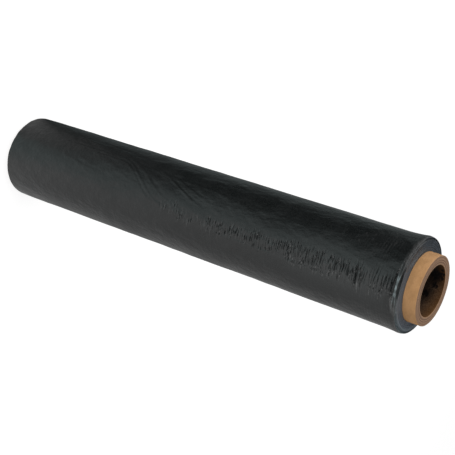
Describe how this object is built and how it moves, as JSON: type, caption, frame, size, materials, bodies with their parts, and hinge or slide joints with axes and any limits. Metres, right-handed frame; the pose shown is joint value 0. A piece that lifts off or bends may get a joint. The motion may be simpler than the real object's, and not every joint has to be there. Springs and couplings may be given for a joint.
{
  "type": "stretch wrap roll",
  "caption": "Roll of black stretch wrap on a paper core that stands out at both ends, stood on one end of the core.",
  "frame": {"origin": "centre of the core's lower cut end, on the roll's axis, at the height of the surface that it stands on", "axes": "+Z along the roll's axis from the end it stands on to the open upper end; -Y faces the viewer, where most of the creases in the outer turns are; the part is round, so X and Y are otherwise free"},
  "size_m": [0.0939, 0.094, 0.52],
  "materials": {
    "core_paper": "matte kraft paper",
    "stretch_film": "satin black film, lightly creased"
  },
  "bodies": {
    "root": {"core": "core_paper", "film_roll": "stretch_film"}
  },
  "joints": []
}
